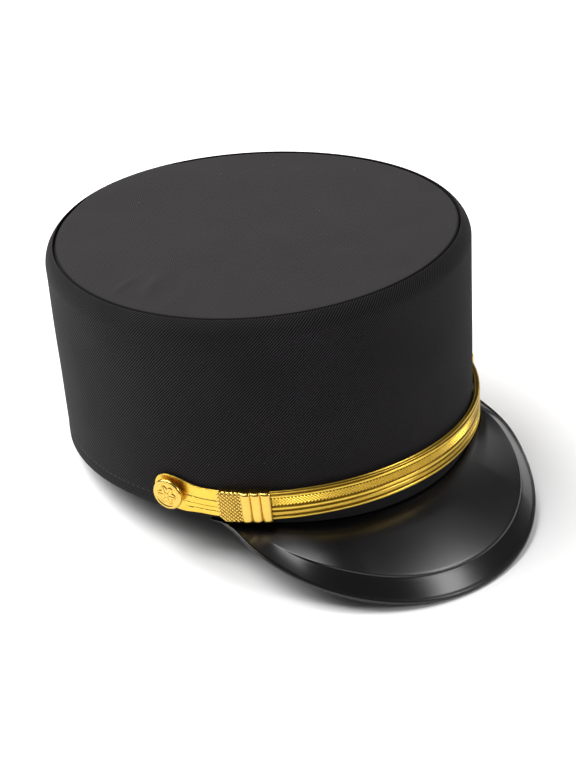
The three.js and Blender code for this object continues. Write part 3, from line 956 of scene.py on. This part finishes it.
def slideHollow():
    half = strap["width"] / 2 + gap
    inside = slideFront - slide["frontThick"]
    back = strap["innerOff"] - gap
    corner = 0.5
    hollow = [(-half, inside - corner), (corner - half, inside)]
    for share in steadily(0, 1, 26)[1:-1]:
        hollow.append((lerp(corner - half, half - corner, share), inside))
    hollow += [(half - corner, inside), (half, inside - corner)]
    hollow += [(half, lerp(inside, back, 0.5)), (half, back)]
    hollow += [(lerp(half, -half, share), back) for share in (0.2, 0.4, 0.6, 0.8)]
    return hollow + [(-half, back), (-half, lerp(back, inside, 0.5))]


def slidePiece(side, name, replaced):
    # Each rib has its points closest together at its two edges
    fine = [(1 - math.cos(math.pi * k / 14)) / 2 for k in range(14)]
    alongs = []
    for rib in range(slide["ribs"]):
        alongs += [(rib + share) * slide["ribbed"] / slide["ribs"] for share in fine]
    alongs += steadily(slide["ribbed"] + 0.03, slide["length"], 24)

    def ring(outline, along):
        turn = side["sign"] * slideTurn(side, along)
        points = [strapPoint(turn, up, off) for up, off in outline]
        return points + [points[0]]

    outer = [ring(slideOutline(side, along), along) for along in alongs]
    rows = [fanCap(outer[0]), *outer, fanCap(outer[-1])]
    piece = gridPiece(name, rows, sharp=32)
    hollow = [ring(slideHollow(), along) for along in steadily(-2, slide["length"] + 2, 24)]
    cutter = gridPiece(name + "Hollow", [fanCap(hollow[0]), *hollow, fanCap(hollow[-1])])
    cutAway(piece, cutter)
    settle(piece, pressedBrass, "gilt_metal", replaced)


# Studs on a slide: how far they stand off its front, and stay clear of its end and its long edges
slideStuds = {
    "pitch": 1.86, "rows": 17, "size": (1.86, 1.86, 0.2),
    "off": 0.25, "fromEnd": 0.3, "fromEdge": 0.35,
}


def slideStudPlaces(side):
    places = []
    along = slide["ribbed"] + slideStuds["pitch"] / 2
    free = slideStuds["fromEdge"]
    column = 0
    while along < slide["length"] - slideStuds["fromEnd"]:
        turn = side["sign"] * slideTurn(side, along)
        low = -slide["height"] / 2 + cutCorner(slide["lowCorner"], slide["length"] - along) + free
        high = slide["height"] / 2 - cutCorner(slide["topCorner"], slide["length"] - along) - free
        for row in range(slideStuds["rows"]):
            up = ((row + 0.5) / slideStuds["rows"] - 0.5) * slide["height"]
            if (row + column) % 2 == 0 and low < up < high:
                # Studs lean over with the rounded upper and lower edges
                over = min(max(abs(up) - (slide["height"] / 2 - slide["bevel"]), 0) / slide["bevel"], 0.95)
                drop = slide["bevel"] * (1 - math.sqrt(1 - over * over))
                point = strapPoint(turn, up, slideFront + slideStuds["off"] - drop)
                out = outwards(math.radians(turn))
                tilt = math.asin(over) * math.copysign(1, up)
                out = (out * math.cos(tilt) + Vector((0, 0, 1)) * math.sin(tilt)).normalized()
                places.append((point, alongStrap(turn), out))
        along += slideStuds["pitch"] / 2
        column += 1
    return places


def slidePieces():
    for side, word, replaced in ((right, "Right", "slide_right"), (left, "Left", "slide_left")):
        slidePiece(side, "slideSleeve" + word, replaced)
        places = slideStudPlaces(side)
        piece = repeatPiece("slideKnurl" + word, "stud", places, slideStuds["size"], pressedBrass)
        settle(piece, pressedBrass, "gilt_metal")


# A shank button: its face has a raised rim round a low six-petalled flower
def buttonProfile():
    radius = button["radius"]
    stand = button["stand"]
    face = stand + button["thickness"]
    rim = button["rimWide"]
    shank = button["shankRadius"]
    profile = [(0, gap), (shank, gap), (shank, stand - 0.6)]
    profile += [(shank + 0.6, stand), (radius - 1.6, stand + 0.1)]
    for degrees in steadily(-80, 90, 14):
        a = math.radians(degrees)
        profile.append((radius - rim + rim * math.cos(a), face - rim + rim * math.sin(a)))
    for inwards, down in ((0.3, 0.08), (0.6, 0.3), (0.9, 0.42)):
        profile.append((radius - rim - inwards, face - down))
    for r in steadily(radius - rim - 1.1, 0, 24):
        profile.append((r, face - 0.45 + 0.2 * (1 - (r / radius) ** 2)))
    return profile


# A line down the middle of each petal, a few tenths of a millimetre wide
def petalVein(r, around, wide):
    across = abs(math.sin(around * button["petals"] / 2)) * r
    return math.exp(-((across / wide) ** 2)) * smooth(0.8, 1.6, r)


def flower(r, around):
    reach = button["radius"] - button["rimWide"] - 1.2
    if r > reach:
        return 0.0
    petal = 0.62 + 0.38 * abs(math.cos(around * button["petals"] / 2))
    leaf = 1 - smooth(reach * petal * 0.82, reach * petal, r)
    vein = petalVein(r, around, 0.35)
    heart = 1 - smooth(0.9, 1.3, r)
    return 0.34 * leaf - 0.2 * vein * leaf + 0.16 * heart


# How much shade is painted on the button's face: in the veins, and where a petal ends
def flowerLineShade(r, around):
    reach = button["radius"] - button["rimWide"] - 0.6
    if r > reach:
        return 0.0
    step = abs(flower(min(r + 0.2, reach), around) - flower(max(r - 0.2, 0.0), around))
    vein = petalVein(r, around, 0.4)
    return min(step * 5 + vein * 0.6 * smooth(reach, reach - 1.5, r), 1.0)


def buttonPiece(side, name, replaced):
    place, axis = buttonPlace(side)
    turned = axis.to_track_quat("Z", "Y").to_matrix().to_4x4()
    toCap = capToRow.inverted() @ Matrix.Translation(place) @ turned
    rows = []
    lines = []
    for i in range(button["around"] + 1):
        around = 2 * math.pi * i / button["around"]
        row = []
        depths = []
        for index, (r, z) in enumerate(buttonProfile()):
            onFace = index > button["rimEnds"]
            if onFace:
                z += flower(r, around)
            row.append(toCap @ (Vector((r * math.cos(around), r * math.sin(around), z)) * mm))
            depths.append(flowerLineShade(r, around) if onFace else 0.0)
        rows.append(row)
        lines.append(depths)
    piece = gridPiece(name, rows, attribute=("groove", lines), sharp=60)
    settle(piece, pressedBrass, "gilt_metal", replaced)


# The hem's stitches: short threads laid end to end round the crown, a little slanted
hem = {"pitch": 3.2, "size": (2.4, 0.42, 0.4), "slant": 10.0}


def hemStitches():
    places = []
    turn = -math.pi
    while turn < math.pi:
        step = math.radians(hem["pitch"] / perDegree(math.degrees(turn)))
        height = rimHeight(turn) + crown["hemHeight"]
        point = cloth(turn, height, 0) + outwards(turn) * 0.02
        ahead = sidePoint(turn + step / 2, rimHeight(turn + step / 2) + crown["hemHeight"])
        along = (ahead - sidePoint(turn, height)).normalized()
        along = Quaternion(outwards(turn), -math.radians(hem["slant"])) @ along
        places.append((point, along, outwards(turn)))
        turn += step
    piece = repeatPiece("hemStitches", "thread", places, hem["size"], hemThread)
    settle(piece, hemThread, "cloth")


# Camera and light
view = {
    "place": (-0.6575, -0.7454, 0.7099),
    "aim": (-0.0012, 0.0031, 0.0397),
    "roll": -0.2,
    "lens": 120.9,
}

# Soft lights, each a panel: the wide one lights the cloth from behind, and the small ones make the
# highlights on the peak and on the right of the strap. Power in watts
lights = [
    {"name": "keyPanel", "place": (-0.45, 0.96, 1.5), "size": (1.9, 1.9), "power": 91},
    {"name": "fieldPanel", "place": (0.66, -0.42, 1.22), "size": (0.34, 0.13), "power": 3.6},
    {"name": "bandPanel", "place": (0.46, -1.22, 0.82), "size": (0.36, 0.5), "power": 6.5},
    {"name": "rightPanel", "place": (1.25, 0.5, 0.75), "size": (0.5, 0.4), "power": 1.6},
]
lightAim = (0, 0, 0.06)
worldLight = 0.16


def cameraAndLight():
    scene = bpy.context.scene
    lens = bpy.data.cameras.new("camera")
    lens.lens = view["lens"]
    camera = newObject("camera", lens)
    camera.location = view["place"]
    towards = Vector(view["aim"]) - Vector(view["place"])
    level = towards.to_track_quat("-Z", "Y")
    camera.rotation_mode = "QUATERNION"
    camera.rotation_quaternion = level @ Quaternion((0, 0, 1), -math.radians(view["roll"]))
    scene.camera = camera
    for look in lights:
        lamp = bpy.data.lights.new(look["name"], "AREA")
        lamp.shape = "RECTANGLE"
        lamp.size, lamp.size_y = look["size"]
        lamp.energy = look["power"]
        holder = newObject(look["name"], lamp)
        holder.location = look["place"]
        aimed = Vector(lightAim) - Vector(look["place"])
        holder.rotation_euler = aimed.to_track_quat("-Z", "Y").to_euler()
    world = bpy.data.worlds.new("studio")
    world.use_nodes = True
    sky = world.node_tree.nodes["Background"]
    sky.inputs[0].default_value = (1, 1, 1, 1)
    sky.inputs[1].default_value = worldLight
    scene.world = world
    scene.view_settings.view_transform = "Standard"


def paleFloor():
    mesh = bpy.data.meshes.new("floor")
    half = 4.0
    corners = [(-half, -half, 0), (half, -half, 0), (half, half, 0), (-half, half, 0)]
    mesh.from_pydata(corners, [], [(0, 1, 2, 3)])
    floor = newObject("floor", mesh)
    material, tree = newMaterial("whitePaperFloor")
    place = node(tree, "ShaderNodeTexCoord").outputs["Object"]
    grain = node(tree, "ShaderNodeTexNoise", {0: place, "Scale": 4.0})
    tone = blend(tree, grain.outputs["Fac"], hexColour("#e2e2e2"), hexColour("#e6e6e6"))
    principled(tree, {
        "Base Color": tone, "Roughness": 0.9, "Specular IOR Level": 0.1})
    mesh.materials.append(material)


cameraAndLight()
paleFloor()
print("camera, light and floor set")
crownSide()
crownTop()
peakPiece()
strapPieces()
slidePieces()
buttonPiece(right, "buttonRight", "button_right")
buttonPiece(left, "buttonLeft", "button_left")
hemStitches()
